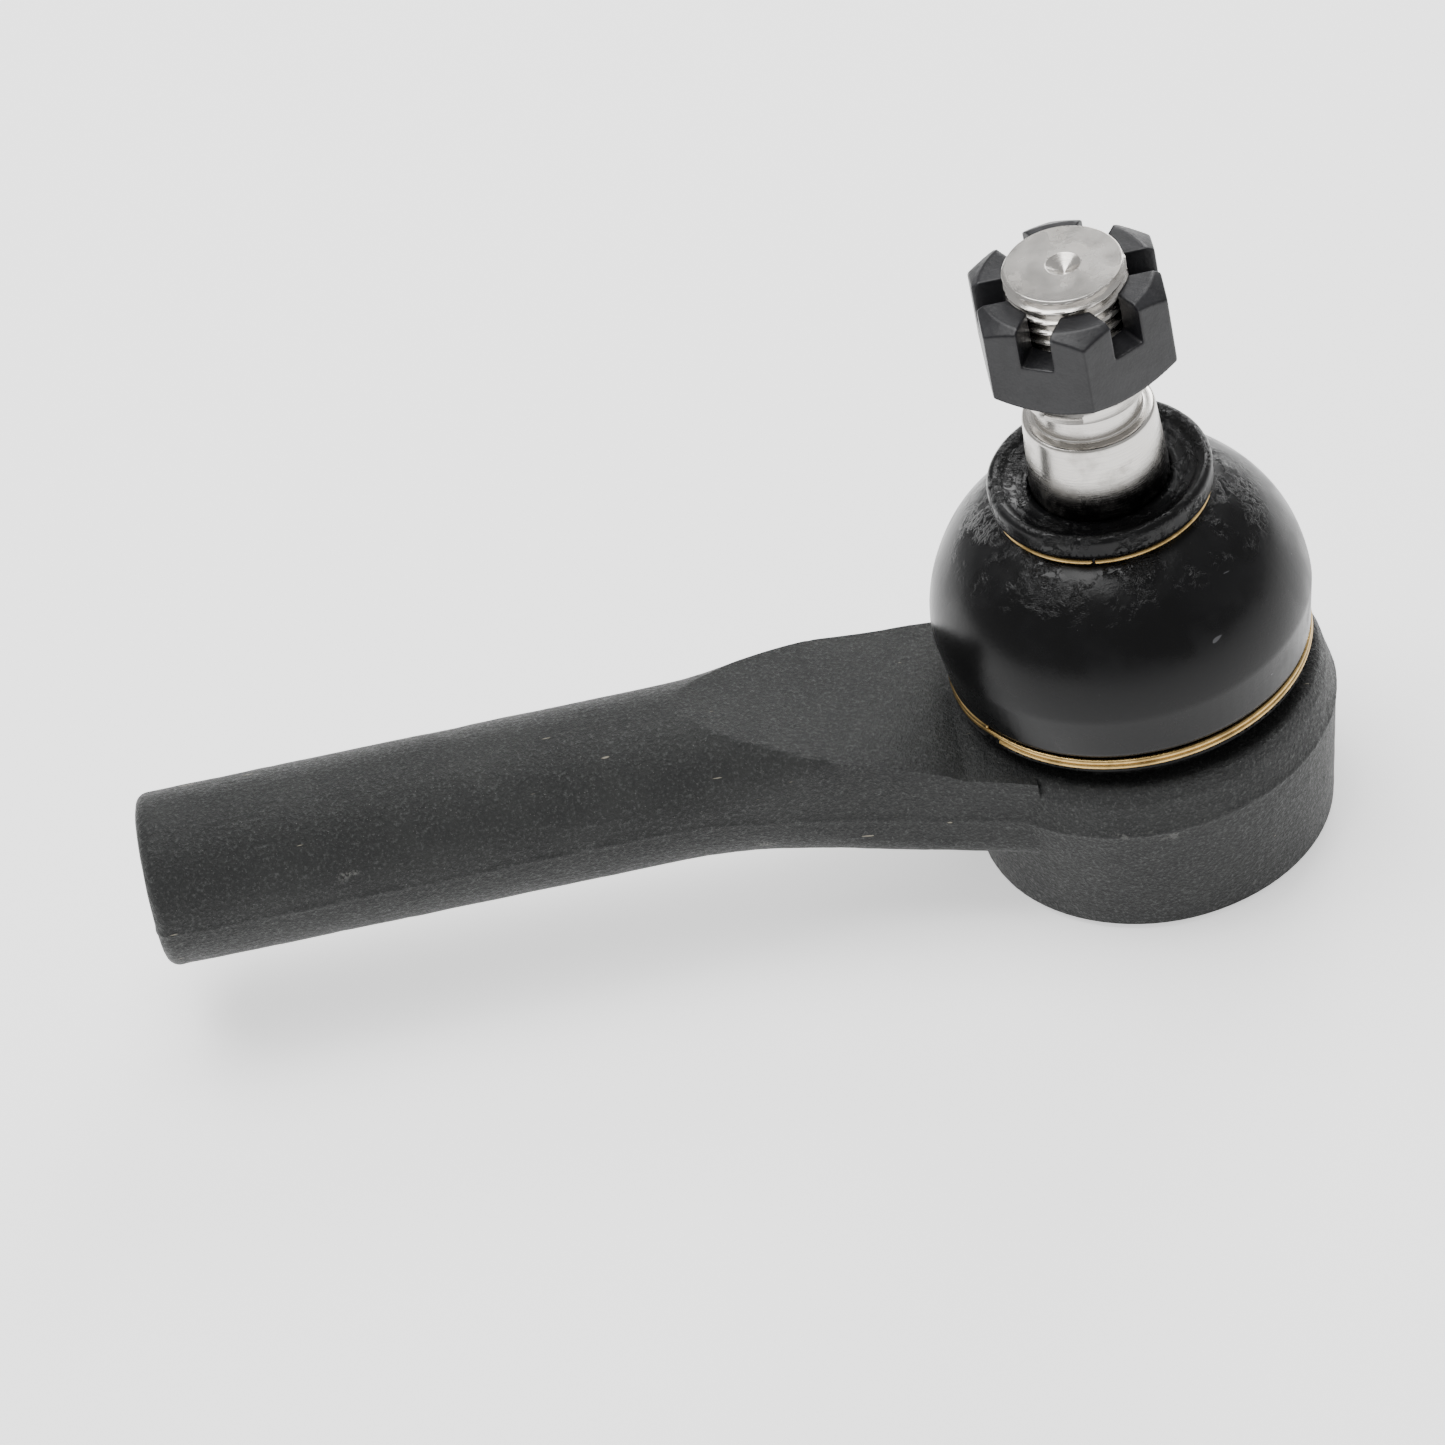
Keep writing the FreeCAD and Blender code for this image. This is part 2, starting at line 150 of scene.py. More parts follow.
def grid_faces(rows, columns, first=0):
    """Four-cornered faces between rings of points, where each ring closes on itself."""
    faces = []
    for row in range(rows - 1):
        low, high = first + row * columns, first + (row + 1) * columns
        for column in range(columns):
            beside = (column + 1) % columns
            faces.append((low + column, low + beside, high + beside, high + column))
    return faces


def baked(piece):
    """The piece's mesh with its modifiers applied."""
    bpy.context.view_layer.update()
    graph = bpy.context.evaluated_depsgraph_get()
    mesh = bpy.data.meshes.new_from_object(piece.evaluated_get(graph))
    piece.modifiers.clear()
    return mesh


def positions(mesh):
    """The mesh's points as rows of x, y, z."""
    flat = np.empty(len(mesh.vertices) * 3)
    mesh.vertices.foreach_get("co", flat)
    return flat.reshape(-1, 3)


def move_along_normals(mesh, amounts):
    """Moves each point along its normal by its amount in metres."""
    normals = np.empty(len(mesh.vertices) * 3)
    mesh.vertices.foreach_get("normal", normals)
    moved = positions(mesh) + normals.reshape(-1, 3) * np.asarray(amounts)[:, None]
    mesh.vertices.foreach_set("co", moved.ravel())
    mesh.update()


def lumps(points, size, layer=0):
    """Smooth noise from -1 to 1 at each point, with lumps of about the given size in metres."""
    shift = Vector((layer * 17.3 + SEED, layer * 5.1, layer * 9.7))
    return np.array([noise.noise(Vector(point) / size + shift) for point in points])


def step(values, low, high):
    """0 below low, 1 above high, and smooth between."""
    share = np.clip((values - low) / (high - low), 0, 1)
    return share * share * (3 - 2 * share)


def outline(corners, longest):
    """Points (radius, height) in metres along straight runs between corners (radius, height, round) in mm.
    A corner with a round is rounded by that radius, and no run between points is longer than longest."""
    ends = []
    for index, corner in enumerate(corners):
        here = np.array(corner[:2])
        if len(corner) < 3 or index in (0, len(corners) - 1):
            ends.append(here)
            continue
        before = np.array(corners[index - 1][:2]) - here
        after = np.array(corners[index + 1][:2]) - here
        before = before / np.linalg.norm(before)
        after = after / np.linalg.norm(after)
        half = math.acos(float(np.clip(before @ after, -1, 1))) / 2
        reach = corner[2] / math.tan(half)
        start = here + before * reach
        stop = here + after * reach
        for share in np.linspace(0, 1, 6):
            ends.append((1 - share) ** 2 * start + 2 * share * (1 - share) * here + share ** 2 * stop)
    points = [ends[0]]
    for first, second in zip(ends, ends[1:]):
        pieces = max(1, math.ceil(np.linalg.norm(second - first) / longest))
        for number in range(1, pieces + 1):
            points.append(first + (second - first) * number / pieces)
    return np.array(points) * MM


def lathe(name, profile, turns, change=None):
    """A closed solid: the profile from its lower pole to its upper pole, turned about Z.
    change(radius, angle, height) may alter the radii."""
    angles = np.arange(turns) * 2 * math.pi / turns
    rings = profile[1:-1]
    radius = np.repeat(rings[:, :1], turns, 1)
    height = np.repeat(rings[:, 1:], turns, 1)
    angle = np.repeat(angles[None, :], len(rings), 0)
    if change is not None:
        radius = change(radius, angle, height)
    x, y = radius * np.cos(angle), radius * np.sin(angle)
    points = [(0, 0, profile[0][1])]
    points += list(zip(x.ravel(), y.ravel(), height.ravel()))
    points.append((0, 0, profile[-1][1]))
    faces = grid_faces(len(rings), turns, 1)
    top = len(points) - 1
    for column in range(turns):
        beside = (column + 1) % turns
        faces.append((0, 1 + beside, 1 + column))
        faces.append((top, top - turns + column, top - turns + beside))
    return solid(name, points, faces)


def tube(name, path, radius, sides=14):
    """A closed round wire along the path, a list of points, with slightly domed ends."""
    path = np.array(path)
    along = np.gradient(path, axis=0)
    along /= np.linalg.norm(along, axis=1)[:, None]
    aside = np.cross(along, (0, 0, 1.0))
    aside /= np.linalg.norm(aside, axis=1)[:, None]
    upward = np.cross(aside, along)
    dome_reach, dome_scale = 0.35 * radius, 0.62
    rings = [(path[0] - along[0] * dome_reach, dome_scale, 0)]
    rings += [(centre, 1.0, index) for index, centre in enumerate(path)]
    rings.append((path[-1] + along[-1] * dome_reach, dome_scale, len(path) - 1))
    points = []
    for centre, scale, index in rings:
        for side in range(sides):
            angle = 2 * math.pi * side / sides
            offset = aside[index] * math.cos(angle) + upward[index] * math.sin(angle)
            points.append(tuple(centre + offset * radius * scale))
    faces = grid_faces(len(rings), sides)
    faces.append(tuple(range(sides)))
    faces.append(tuple(range(len(points) - sides, len(points))))
    return solid(name, points, faces)


def cut(piece, cutter):
    """Takes the cutter's solid out of the piece and removes the cutter."""
    modifier = piece.modifiers.new("cut", "BOOLEAN")
    modifier.operation = "DIFFERENCE"
    modifier.solver = "EXACT"
    modifier.object = cutter
    piece.data = baked(piece)
    bpy.data.objects.remove(cutter)


def finish_piece(piece, material, node, body=None):
    """Gives the piece its material, hides the CAD node it replaces and parents the piece to the body it rides on.
    """
    piece.data.materials.clear()
    piece.data.materials.append(material)
    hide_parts(node)
    if body is not None:
        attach(piece, body)


# ---------------------------------------------------------------- material tools

class Surface:
    """A Principled material, and short calls that add the nodes which drive it."""

    def __init__(self, name, **values):
        self.material = bpy.data.materials.new(name)
        self.material.use_nodes = True
        self.tree = self.material.node_tree
        self.shader = self.tree.nodes["Principled BSDF"]
        self.place = self.add("ShaderNodeTexCoord").outputs["Object"]
        for socket, value in values.items():
            self.shader.inputs[socket.replace("_", " ")].default_value = value

    def add(self, kind, settings=None, inputs=None):
        """A node with the given settings and inputs, each a value or another node's output."""
        made = self.tree.nodes.new(kind)
        for key, value in (settings or {}).items():
            setattr(made, key, value)
        for key, value in (inputs or {}).items():
            if isinstance(value, bpy.types.NodeSocket):
                self.tree.links.new(value, made.inputs[key])
            else:
                made.inputs[key].default_value = value
        return made

    def stretch(self, scale, turn=(0, 0, 0)):
        """Object coordinates scaled by three factors."""
        inputs = {"Vector": self.place, "Scale": scale, "Rotation": turn}
        return self.add("ShaderNodeMapping", inputs=inputs).outputs["Vector"]

    def speckle(self, size, detail=2.0, rough=0.5, place=None, bend=0.0):
        """Noise from 0 to 1 with features of about the given size in metres."""
        inputs = {"Vector": place or self.place, "Scale": 1 / size, "Detail": detail}
        inputs |= {"Roughness": rough, "Distortion": bend}
        return self.add("ShaderNodeTexNoise", inputs=inputs).outputs["Fac"]

    def ramp(self, value, low, high, start=0.0, stop=1.0):
        """The value's range low to high carried to start to stop, smoothly and no further."""
        inputs = {"Value": value, "From Min": low, "From Max": high, "To Min": start, "To Max": stop}
        settings = {"interpolation_type": "SMOOTHSTEP"}
        return self.add("ShaderNodeMapRange", settings, inputs).outputs["Result"]

    def sums(self, operation, first, second):
        """Two values joined by a maths operation."""
        return self.add("ShaderNodeMath", {"operation": operation}, {0: first, 1: second}).outputs[0]

    def colours(self, share, first, second):
        """A colour between two others."""
        made = self.add("ShaderNodeMix", {"data_type": "RGBA"})
        for socket, value in ((made.inputs[0], share), (made.inputs[6], first), (made.inputs[7], second)):
            if isinstance(value, bpy.types.NodeSocket):
                self.tree.links.new(value, socket)
            else:
                socket.default_value = value
        return made.outputs[2]

    def axes(self):
        """The object coordinates x, y and z."""
        made = self.add("ShaderNodeSeparateXYZ", inputs={"Vector": self.place})
        return made.outputs[0], made.outputs[1], made.outputs[2]

    def bump(self, height, depth, strength=1.0, under=None):
        """A normal from a height of 0 to 1 over a depth in metres."""
        inputs = {"Height": height, "Distance": depth, "Strength": strength}
        if under is not None:
            inputs["Normal"] = under
        return self.add("ShaderNodeBump", inputs=inputs).outputs["Normal"]

    def drive(self, **sockets):
        """Links outputs to the shader's sockets."""
        for socket, output in sockets.items():
            self.tree.links.new(output, self.shader.inputs[socket.replace("_", " ")])
        return self.material


def grey(level, warmth=0.0):
    """A grey, warmer above zero and cooler below."""
    return (level * (1 + warmth), level, level * (1 - warmth), 1)


def forged_black():
    """Black coating over a gritty forging: greenish grey, grit crests lightened partly as painted highlight, fine
    painted glints (pale specks painted as highlights on the grain), pale scuffs and scratches.
    """
    s = Surface("forged_black_coating", Specular_IOR_Level=0.34)
    cloud = s.ramp(s.speckle(14 * MM, 3), 0.35, 0.65)
    patch = s.ramp(s.speckle(3.2 * MM, 3), 0.35, 0.7)
    grit = s.speckle(0.42 * MM, 3, 0.65)
    fine = s.speckle(0.17 * MM, 2, 0.6)
    base = s.colours(cloud, (0.0070, 0.0078, 0.0074, 1), (0.0125, 0.0135, 0.0128, 1))
    base = s.colours(s.sums("MULTIPLY", patch, 0.45), base, (0.0052, 0.0056, 0.0060, 1))
    # Lighter grey on the grit's crests: partly the grit's own tone, partly a painted highlight where the raised
    # grit catches the light.
    grit_crest_painted_highlight = s.ramp(grit, 0.52, 0.74)
    base = s.colours(s.sums("MULTIPLY", grit_crest_painted_highlight, 0.7), base, (0.048, 0.051, 0.049, 1))
    # Painted highlight: pale specks on the fine grain are painted in place of specular glints.
    painted_glint = s.ramp(fine, 0.66, 0.78)
    base = s.colours(s.sums("MULTIPLY", painted_glint, 0.45), base, (0.30, 0.30, 0.29, 1))
    scuff_place = s.stretch((1, 2.6, 2.6))
    scuff = s.ramp(s.speckle(9 * MM, 2, 0.5, scuff_place), 0.70, 0.80)
    scuff = s.sums("MULTIPLY", scuff, s.ramp(grit, 0.42, 0.6))
    base = s.colours(scuff, base, (0.13, 0.13, 0.122, 1))
    scratch_place = s.stretch((1, 7, 7), (0.2, 0.5, 0.4))
    scratch = s.ramp(s.speckle(5 * MM, 1, 0.4, scratch_place), 0.795, 0.81)
    base = s.colours(scratch, base, (0.22, 0.20, 0.155, 1))
    rough = s.ramp(grit, 0.3, 0.75, 0.62, 0.40)
    normal = s.bump(grit, 0.30 * MM)
    normal = s.bump(fine, 0.09 * MM, 1.0, normal)
    normal = s.bump(s.speckle(1.6 * MM, 2), 0.16 * MM, 1.0, normal)
    return s.drive(Base_Color=base, Roughness=rough, Normal=normal)


def polished_steel():
    """Ground and polished steel with fine turning lines, faint smears and grease towards the foot."""
    s = Surface("ground_stud_steel", Metallic=1.0)
    z = s.axes()[2]
    lines_place = s.stretch((0.02, 0.02, 1))
    lines = s.speckle(0.11 * MM, 3, 0.7, lines_place)
    smear = s.ramp(s.speckle(4 * MM, 3, 0.6), 0.45, 0.7)
    foot = s.ramp(z, 53.5 * MM, 57.5 * MM, 1.0, 0.0)
    foot = s.sums("MULTIPLY", foot, s.ramp(s.speckle(1.8 * MM, 3, 0.6), 0.2, 0.55, 0.55, 1.0))
    base = s.colours(smear, (0.60, 0.58, 0.55, 1), (0.44, 0.42, 0.39, 1))
    base = s.colours(s.sums("MULTIPLY", s.ramp(lines, 0.4, 0.7), 0.3), base, (0.45, 0.43, 0.41, 1))
    base = s.colours(foot, base, (0.035, 0.033, 0.033, 1))
    rough = s.sums("ADD", s.ramp(lines, 0.3, 0.7, 0.16, 0.28), s.ramp(smear, 0, 1, 0.0, 0.10))
    normal = s.bump(lines, 0.012 * MM)
    return s.drive(Base_Color=base, Roughness=rough, Normal=normal)


def nut_black():
    """Satin black oxide with a faint tool grain, softer and paler on the worn edges."""
    s = Surface("nut_black_oxide", Specular_IOR_Level=0.3)
    grain = s.speckle(0.30 * MM, 3, 0.6)
    cloud = s.ramp(s.speckle(4 * MM, 3), 0.35, 0.65)
    base = s.colours(cloud, (0.0085, 0.0085, 0.0098, 1), (0.0140, 0.0140, 0.0158, 1))
    edge = s.ramp(s.add("ShaderNodeNewGeometry").outputs["Pointiness"], 0.53, 0.60)
    edge = s.sums("MULTIPLY", edge, s.ramp(s.speckle(1.2 * MM, 3), 0.35, 0.6))
    base = s.colours(s.sums("MULTIPLY", edge, 0.5), base, (0.08, 0.08, 0.085, 1))
    rough = s.ramp(grain, 0.3, 0.7, 0.30, 0.44)
    normal = s.bump(grain, 0.02 * MM)
    normal = s.bump(s.speckle(1.5 * MM, 2), 0.05 * MM, 1.0, normal)
    return s.drive(Base_Color=base, Roughness=rough, Normal=normal)


def boot_rubber():
    """Glossy black rubber, greasy and uneven near the upper wire, with dust specks and hair marks."""
    s = Surface("boot_rubber", Specular_IOR_Level=0.2)
    z = s.axes()[2]
    cloud = s.ramp(s.speckle(9 * MM, 3, 0.55), 0.38, 0.66)
    streak = s.ramp(s.speckle(1.3 * MM, 4, 0.7, bend=1.2), 0.42, 0.68)
    grease = s.ramp(z, 43 * MM, 48 * MM)
    grease = s.sums("MULTIPLY", grease, s.ramp(s.speckle(5 * MM, 3, 0.6), 0.40, 0.60))
    base = s.colours(cloud, (0.0022, 0.0022, 0.0024, 1), (0.0040, 0.0041, 0.0045, 1))
    dust = s.ramp(s.speckle(0.32 * MM, 2, 0.5), 0.76, 0.82)
    base = s.colours(s.sums("MULTIPLY", dust, 0.35), base, (0.20, 0.20, 0.20, 1))
    hair_place = s.stretch((1, 1, 5), (0.7, 0.3, 0.2))
    hair = s.ramp(s.speckle(6 * MM, 1, 0.4, hair_place, 0.8), 0.775, 0.782)
    base = s.colours(s.sums("MULTIPLY", hair, 0.4), base, (0.16, 0.16, 0.17, 1))
    dry = s.ramp(cloud, 0, 1, 0.24, 0.36)
    rough = s.add("ShaderNodeMix", {"data_type": "FLOAT"}, {0: grease, 2: dry, 3: 0.12}).outputs[0]
    normal = s.bump(s.speckle(0.5 * MM, 2), 0.008 * MM)
    lumpy = s.sums("MULTIPLY", streak, grease)
    normal = s.bump(lumpy, 0.12 * MM, 1.0, normal)
    return s.drive(Base_Color=base, Roughness=rough, Normal=normal)


def ring_wire():
    """Drawn wire with a yellow passivated finish, darker in places, with fine lines along it."""
    s = Surface("ring_wire_yellow", Metallic=1.0)
    tarnish = s.ramp(s.speckle(3.0 * MM, 3, 0.6), 0.40, 0.68)
    grain = s.speckle(0.12 * MM, 2)
    base = s.colours(tarnish, (0.56, 0.38, 0.15, 1), (0.34, 0.23, 0.09, 1))
    base = s.colours(s.ramp(grain, 0.60, 0.75, 0.0, 0.5), base, (0.28, 0.20, 0.10, 1))
    rough = s.ramp(grain, 0.3, 0.7, 0.24, 0.38)
    return s.drive(Base_Color=base, Roughness=rough, Normal=s.bump(grain, 0.01 * MM))


def seat_plastic():
    """Off-white moulded acetal with a faint flow pattern and grease film."""
    s = Surface("seat_acetal", Subsurface_Weight=0.1, Subsurface_Scale=0.001)
    flow = s.ramp(s.speckle(5 * MM, 3, 0.5, s.stretch((1, 1, 3))), 0.35, 0.65)
    film = s.ramp(s.speckle(2 * MM, 3, 0.6), 0.45, 0.65)
    base = s.colours(flow, (0.70, 0.68, 0.60, 1), (0.62, 0.59, 0.50, 1))
    base = s.colours(s.sums("MULTIPLY", film, 0.35), base, (0.42, 0.36, 0.22, 1))
    rough = s.ramp(film, 0, 1, 0.45, 0.25)
    return s.drive(Base_Color=base, Roughness=rough, Normal=s.bump(s.speckle(0.3 * MM, 2), 0.01 * MM))


def turned_steel(name, light, dark, depth):
    """Pressed steel sheet with circular marks about Z, stains and fine scratches."""
    s = Surface(name, Metallic=1.0)
    x, y, _ = s.axes()
    across = s.sums("SQRT", s.sums("ADD", s.sums("MULTIPLY", x, x), s.sums("MULTIPLY", y, y)), 0.0)
    rings_place = s.add("ShaderNodeCombineXYZ", inputs={"X": across}).outputs[0]
    rings = s.speckle(0.25 * MM, 3, 0.6, rings_place)
    stain = s.ramp(s.speckle(5 * MM, 4, 0.6), 0.38, 0.66)
    base = s.colours(stain, light, dark)
    base = s.colours(s.ramp(rings, 0.5, 0.75, 0.0, 0.4), base, dark)
    rough = s.ramp(rings, 0.3, 0.7, 0.34, 0.52)
    return s.drive(Base_Color=base, Roughness=rough, Normal=s.bump(rings, depth))


# ---------------------------------------------------------------- housing

def thread_groove(phase):
    """How far a 60 degree thread is cut in, at a phase from 0 to 1 along its pitch, with a crest at 0.5."""
    slope = (np.abs(phase - 0.5) * THREAD_PITCH - THREAD_PITCH / 16) * math.sqrt(3)
    return np.clip(slope, 0, THREAD_DEPTH)


def shank_tap():
    """The solid that cuts the shank's internal thread: a screw along X from the open end."""
    mouth = -117.4 * MM
    row_length, columns = 0.25 * MM, 72
    core_radius = BORE_RADIUS - 0.02 * MM
    rows = round(BORE_LENGTH / row_length) + 1
    points = []
    for row in range(rows):
        along = row * row_length
        kept = 1 - float(step(np.array(along), BORE_LENGTH - 2 * THREAD_PITCH, BORE_LENGTH))
        for column in range(columns):
            angle = 2 * math.pi * column / columns
            phase = (along / THREAD_PITCH - column / columns) % 1.0
            radius = core_radius + float(thread_groove(phase)) * kept
            points.append((mouth + along, radius * math.cos(angle), SHANK_HEIGHT + radius * math.sin(angle)))
    faces = grid_faces(rows, columns)
    faces.append(tuple(range(columns)))
    faces.append(tuple(range((rows - 1) * columns, rows * columns)))
    return new_object("shank_tap", solid("shank_tap", points, faces))


def is_forged(points):
    """True on the housing's forged skin, and not on the machined shoulder, collar, bore or underside."""
    draft, rim, shoulder_edge, bore_wall = 2.6 * MM, 0.9 * MM, 0.3 * MM, 1.6 * MM
    across = np.hypot(points[:, 0], points[:, 1])
    beside_bore = np.hypot(points[:, 1], points[:, 2] - SHANK_HEIGHT)
    on_shank = (points[:, 0] < -COLLAR_RADIUS) & (beside_bore > BORE_RADIUS + bore_wall)
    on_barrel = (across > BARREL_RADIUS - draft) & (points[:, 2] > rim)
    on_barrel &= (points[:, 2] < SHOULDER_HEIGHT - shoulder_edge)
    return on_shank | on_barrel


def parting_height(x):
    """The height of the line where the two forging dies met: the shank's middle, then the barrel's ridge."""
    return SHANK_HEIGHT + (RIDGE_HEIGHT - SHANK_HEIGHT) * step(x, -60 * MM, -24 * MM)


def forged_housing():
    """The forging, with its grit, its hammered waviness and the trimmed flash along the parting line."""
    name = "forged_housing_forging"
    piece = new_object(name, to_mesh(cad_copy("forged_housing"), name))
    cut(piece, shank_tap())
    shape = bmesh.new()
    shape.from_mesh(piece.data)

    slices(shape, (1, 0, 0), np.arange(SHANK_END + 0.5 * MM, BARREL_RADIUS, 1.0 * MM))
    slices(shape, (0, 1, 0), np.arange(-21 * MM, 22 * MM, 1.4 * MM))
    slices(shape, (0, 0, 1), np.arange(0.9 * MM, 31 * MM, 0.8 * MM))
    slices(shape, (0, 0, 1), np.arange(15.7 * MM, 22 * MM, 0.4 * MM))
    mesh = to_mesh(shape, name)
    points = positions(mesh)
    skin = is_forged(points).astype(float)
    away = points[:, 2] - parting_height(points[:, 0])
    wander = lumps(points * (1, 1, 0.2), 6 * MM, 3) * 0.25 * MM
    flash = np.exp(-((away - wander) / (0.42 * MM)) ** 2)
    flash *= 0.16 * MM * (0.65 + 0.6 * lumps(points, 3.5 * MM, 4))
    wave = 0.07 * MM * lumps(points, 7 * MM) + 0.035 * MM * lumps(points, 2.2 * MM, 1)
    pits = -0.05 * MM * step(lumps(points, 1.3 * MM, 2), 0.35, 0.6)
    move_along_normals(mesh, skin * (flash + wave + pits))
    shade(mesh, 32)
    piece.data = mesh
    finish_piece(piece, forged_black(), "forged_housing", "housing")


# ---------------------------------------------------------------- stud and nut

def screw_thread(radius, angle, height):
    """Cuts an outside thread into the stud's upper end."""
    bottom = 65.2 * MM
    phase = (height / THREAD_PITCH - angle / (2 * math.pi)) % 1.0
    groove = thread_groove(phase) * step(height, bottom, bottom + THREAD_PITCH)
    on_thread = (height > bottom) & (height < STUD_TOP - 0.01 * MM) & (radius > 6.0 * MM)
    return np.where(on_thread, np.minimum(radius, 7.0 * MM - groove), radius)


def ball_stud():
    """The ball, its neck, the ground taper and the threaded end with its centre-drilled top and pin hole."""
    top = STUD_TOP / MM
    ball = []
    neck_angle = math.asin(6.4 * MM / BALL_RADIUS)
    for angle in np.linspace(0, math.pi - neck_angle, 60):
        ball.append((BALL_RADIUS * math.sin(angle) / MM, (BALL_CENTRE - BALL_RADIUS * math.cos(angle)) / MM))
    shank = outline([
        (6.4, ball[-1][1]), (6.4, 42.0, 3.0), (8.15, 47.0, 1.5), (8.15, 52.0, 0.3), (7.65, 61.9, 0.6),
        (6.2, 61.9, 0.3), (6.2, 65.0, 0.3), (7.0, 65.2), (7.0, 70.0)], 0.5)
    thread = outline([
        (7.0, 70.0), (7.0, top - 0.35), (6.7, top, 0.1), (2.0, top, 0.1), (0.0, top - 1.3)], 0.1)
    profile = np.vstack([np.array(ball) * MM, shank[1:], thread[1:]])
    mesh = lathe("ball_stud_forging", profile, 144, screw_thread)
    piece = new_object("ball_stud_turned", mesh)
    cutter = bmesh.new()
    bmesh.ops.create_cone(cutter, cap_ends=True, segments=48, depth=20 * MM,
                          radius1=PIN_HOLE_RADIUS, radius2=PIN_HOLE_RADIUS)
    for vertex in cutter.verts:
        vertex.co = Vector((vertex.co.z, vertex.co.y, vertex.co.x + PIN_HOLE_HEIGHT))
    cut(piece, new_object("pin_drill", to_mesh(cutter, "pin_drill")))
    shade(piece.data, 38)
    finish_piece(piece, polished_steel(), "ball_stud", "stud")


def castle_nut():
    """The slotted nut with the softened edges of a plated forging."""
    piece = new_object("castle_nut_soft_edged", to_mesh(cad_copy("castle_nut"), "castle_nut_soft_edged"))
    remesh = piece.modifiers.new("grid", "REMESH")
    remesh.mode = "VOXEL"
    remesh.voxel_size = 0.17 * MM
    soften = piece.modifiers.new("soften", "SMOOTH")
    soften.iterations = 5
    soften.factor = 0.5
    piece.data = baked(piece)
    shade(piece.data, 60)
    finish_piece(piece, nut_black(), "castle_nut", "stud")


# ---------------------------------------------------------------- boot and its wires

def dust_boot():
    """The rubber boot, a little uneven as moulded rubber is, with a groove in its top lip."""
    shape = cad_copy("dust_boot")
    refine(shape, 0.9 * MM, lambda middle: True)
    mesh = to_mesh(shape, "dust_boot_rubber")
    points = positions(mesh)
    across = np.hypot(points[:, 0], points[:, 1])
    wave = 0.06 * MM * lumps(points, 8 * MM, 5)
    pucker = step(points[:, 2], 44 * MM, 48.6 * MM) * (1 - step(points[:, 2], 48.8 * MM, 49.4 * MM))
    wave += 0.10 * MM * pucker * lumps(points, 2.4 * MM, 6)
    top_lip = step(points[:, 2], 51.6 * MM, 52.0 * MM)
    wave -= 0.22 * MM * top_lip * np.exp(-((across - 10.9 * MM) / (0.28 * MM)) ** 2)
    wave += 0.03 * MM * top_lip * lumps(points, 1.1 * MM, 7)
    move_along_normals(mesh, wave)
    shade(mesh, 34)
    piece = new_object("dust_boot_rubber", mesh)
    finish_piece(piece, boot_rubber(), "dust_boot")
    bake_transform(piece)


def wire_path(radius, height, turns, start, pitch, ramp):
    """Points along a wound wire. Each turn lies flat, then climbs to the next over the ramp's share of it."""
    path = []
    count = round(turns * 150)
    for number in range(count + 1):
        share = turns * number / count
        whole = math.floor(share)
        climb = whole + float(step(np.array(share - whole), 1 - ramp, 1.0))
        angle = 2 * math.pi * (share + start)
        here = radius + 0.05 * MM * math.sin(3 * angle + 1)
        path.append((here * math.cos(angle), here * math.sin(angle), height + pitch * climb))
    return path


def boot_wires():
    """The two wire rings: one turn with a small gap above, two turns below."""
    wire = ring_wire()
    thick = (upper_wire_high.z - upper_wire_low.z) / 2
    ring_radius = upper_wire_high.x - thick
    path = wire_path(ring_radius, (upper_wire_high.z + upper_wire_low.z) / 2, 0.993, -0.285, 0.0, 0.1)
    piece = new_object("upper_boot_ring_wire", tube("upper_boot_ring_wire", path, thick))
    shade(piece.data, 40)
    finish_piece(piece, wire, "upper_boot_ring", "boot_top")
    pitch = (lower_wire_high.z - lower_wire_low.z) - 2 * thick
    ring_radius = lower_wire_high.x - thick
    path = wire_path(ring_radius, lower_wire_low.z + thick, 1.985, 0.60, pitch, 0.06)
    piece = new_object("lower_boot_ring_wire", tube("lower_boot_ring_wire", path, thick))
    shade(piece.data, 40)
    finish_piece(piece, wire, "lower_boot_ring", "boot")


# ---------------------------------------------------------------- carried-over nodes

def hidden_nodes():
    """Better materials on the CAD nodes whose shape is already right."""
    looks = {
        "upper_bearing_seat": seat_plastic(),
        "preload_spring": turned_steel("spring_steel_blued", grey(0.34, -0.04), grey(0.16, -0.08), 0.02 * MM),
        "cover_plate": turned_steel("cover_steel_pressed", grey(0.20), grey(0.09, 0.03), 0.03 * MM),
    }
    looks["lower_bearing_seat"] = looks["upper_bearing_seat"]
    for node, material in looks.items():
        for holder in frame["nodes"][node].material_slots:
            holder.material = material


# ---------------------------------------------------------------- floor, light and camera

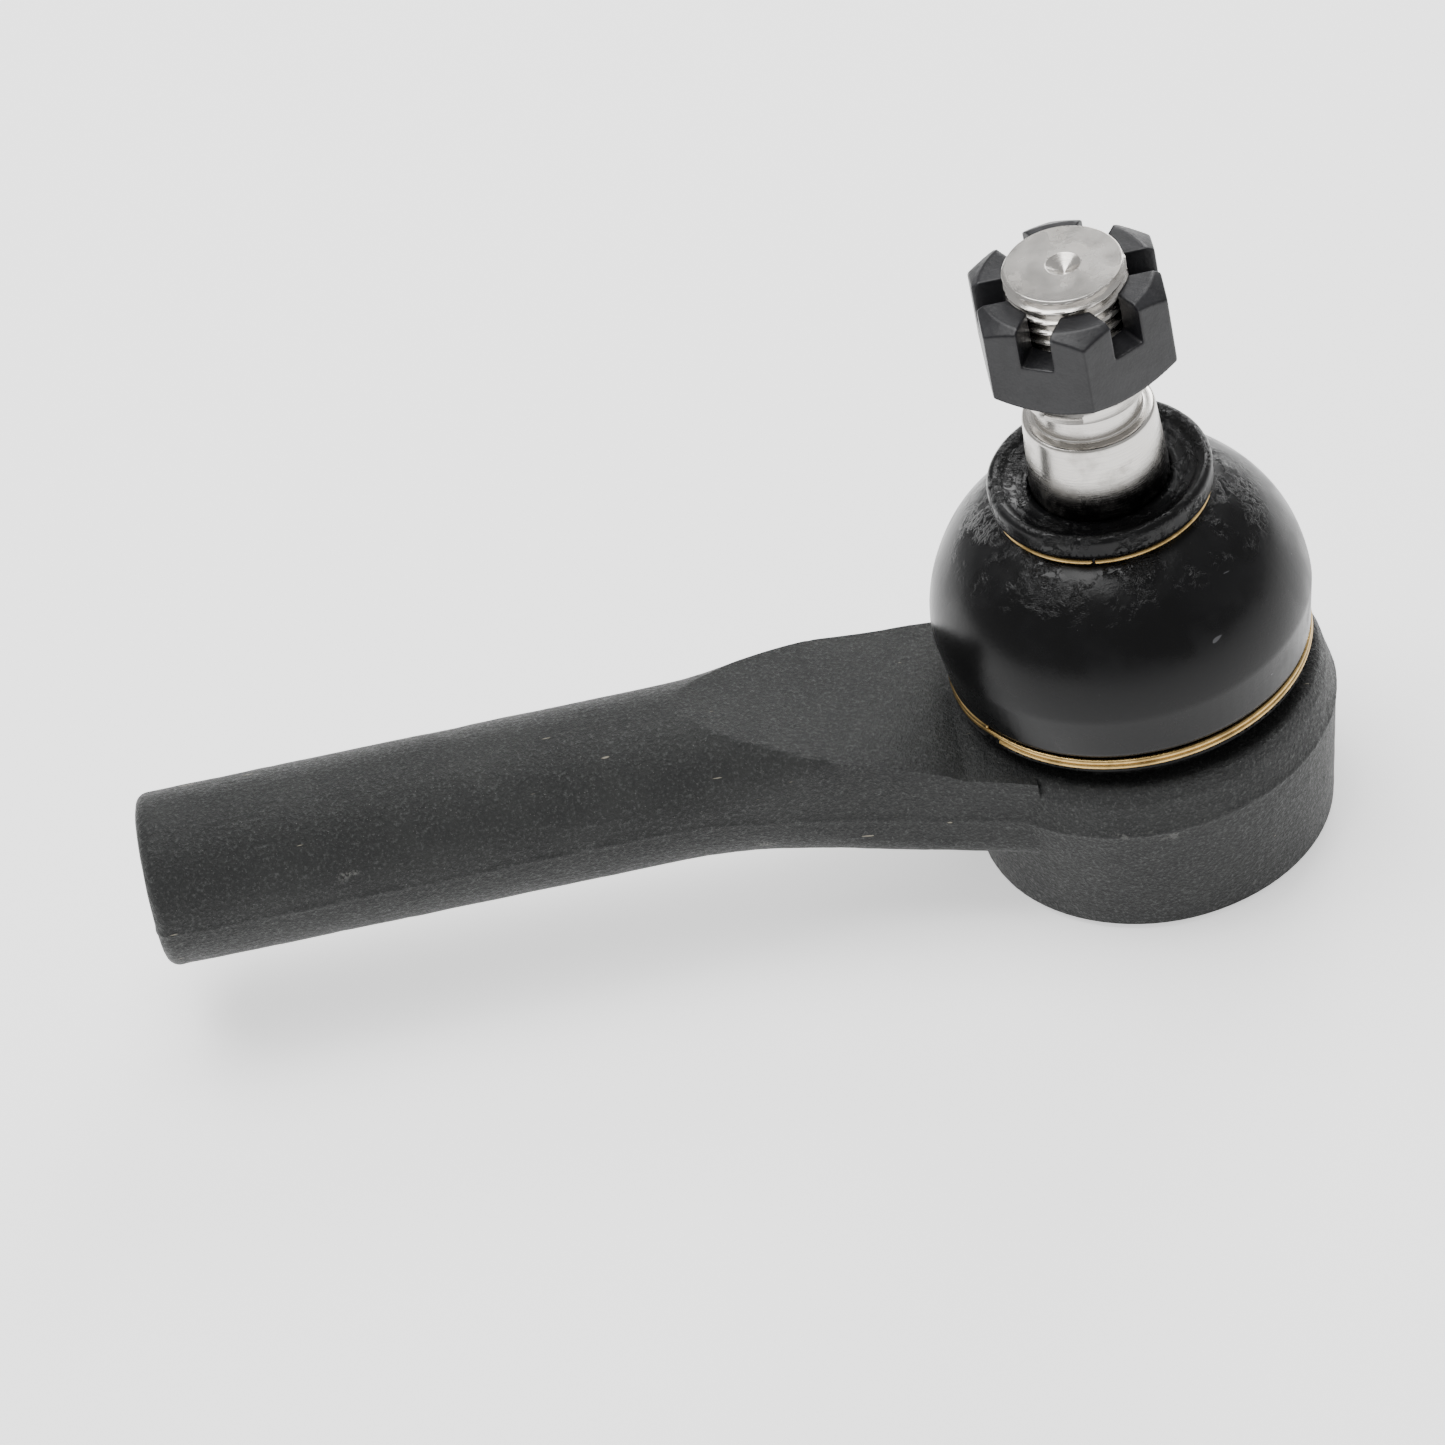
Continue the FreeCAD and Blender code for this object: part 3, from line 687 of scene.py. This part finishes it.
def stage_set():
    """A pale floor and soft studio light."""
    mesh = bpy.data.meshes.new("floor")
    reach = 6.0
    mesh.from_pydata([(-reach, -reach, 0), (reach, -reach, 0), (reach, reach, 0), (-reach, reach, 0)], [],
                     [(0, 1, 2, 3)])
    floor = new_object("floor", mesh)
    paper = Surface("floor_paper", Base_Color=(0.88, 0.88, 0.88, 1), Roughness=0.8,
                    Emission_Color=(1, 1, 1, 1), Emission_Strength=0.9)
    mesh.materials.append(paper.material)
    world = bpy.data.worlds.new("studio")
    world.use_nodes = True
    world.node_tree.nodes["Background"].inputs["Color"].default_value = (1, 1, 1, 1)
    world.node_tree.nodes["Background"].inputs["Strength"].default_value = 0.55
    bpy.context.scene.world = world
    soft_light("top_light", (-0.16, 0.10, 0.75), 0.6, 9)
    soft_light("back_light", (0.30, 0.70, 0.45), 0.4, 4)


def soft_light(name, place, size, power):
    """A square soft light that faces the part."""
    data = bpy.data.lights.new(name, "AREA")
    data.size = size
    data.energy = power
    light = bpy.data.objects.new(name, data)
    bpy.context.scene.collection.objects.link(light)
    light.location = place
    aim = Vector((-0.03, 0, 0.03)) - Vector(place)
    light.rotation_mode = "QUATERNION"
    light.rotation_quaternion = aim.to_track_quat("-Z", "Y")


def camera_set():
    """The camera at the photograph's viewing angle. The lens is long, and the camera is rolled a little."""
    azimuth, elevation, roll = math.radians(1.42), math.radians(41.12), math.radians(-12.71)
    distance, aside, above = 0.875, -0.04816, 0.00109
    target = Vector((0, 0, 0.02635))
    back = Vector((math.sin(azimuth) * math.cos(elevation), -math.cos(azimuth) * math.cos(elevation),
                   math.sin(elevation)))
    right = Vector((math.cos(azimuth), math.sin(azimuth), 0))
    up = back.cross(right)
    data = bpy.data.cameras.new("camera")
    data.sensor_width = 36
    data.lens = 187.6  # 7529 pixels across a frame of 1445
    data.clip_start = 0.05
    data.clip_end = 50
    camera = bpy.data.objects.new("camera", data)
    bpy.context.scene.collection.objects.link(camera)
    camera.location = target + back * distance + right * aside + up * above
    side = right * math.cos(roll) + up * math.sin(roll)
    top = -right * math.sin(roll) + up * math.cos(roll)
    matrix = camera.matrix_world.to_3x3()
    matrix.col[0], matrix.col[1], matrix.col[2] = side, top, back
    camera.rotation_mode = "QUATERNION"
    camera.rotation_quaternion = matrix.to_quaternion()
    bpy.context.scene.camera = camera


camera_set()
stage_set()
forged_housing()
ball_stud()
castle_nut()
dust_boot()
boot_wires()
hidden_nodes()
